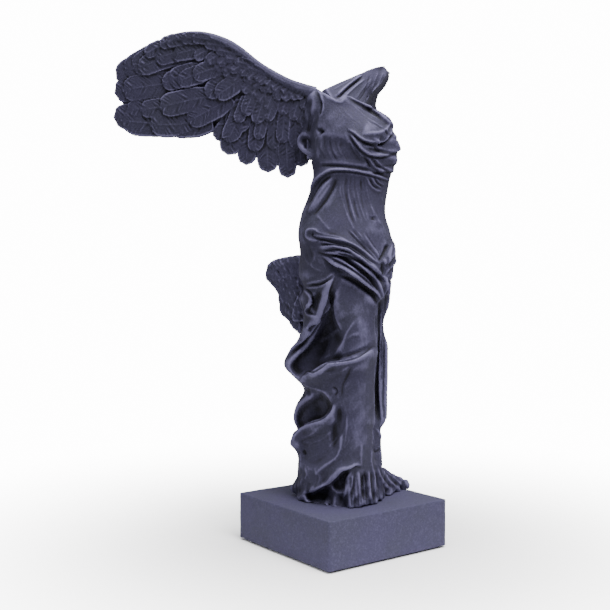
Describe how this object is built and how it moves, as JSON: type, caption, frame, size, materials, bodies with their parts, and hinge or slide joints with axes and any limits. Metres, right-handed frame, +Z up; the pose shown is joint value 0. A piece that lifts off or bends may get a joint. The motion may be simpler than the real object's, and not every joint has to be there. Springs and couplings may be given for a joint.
{
  "type": "figure trophy",
  "caption": "Headless winged draped figure striding on a square plinth, a matt cast statuette with separate wings, dowels and a bolted base.",
  "frame": {"origin": "middle of the underside of the felt sheet under the plinth", "axes": "+Z up, the figure faces -Y, and +X is on the figure's left"},
  "size_m": [0.2193, 0.1446, 0.308],
  "materials": {
    "cast_plinth": "matte",
    "cast_figure": "matte",
    "cast_wings": "matte",
    "steel": "satin",
    "brass": "satin",
    "felt": "matte"
  },
  "bodies": {
    "root": {"plinth": "cast_plinth", "figure_body": "cast_figure", "right_wing": "cast_wings", "left_wing": "cast_wings", "mantle_end": "cast_figure", "right_wing_dowels": "steel", "left_wing_dowels": "steel", "mantle_dowel": "steel", "plinth_dowels": "steel", "threaded_insert": "brass", "mounting_bolt": "steel", "washer": "steel", "felt_pad": "felt"}
  },
  "joints": []
}
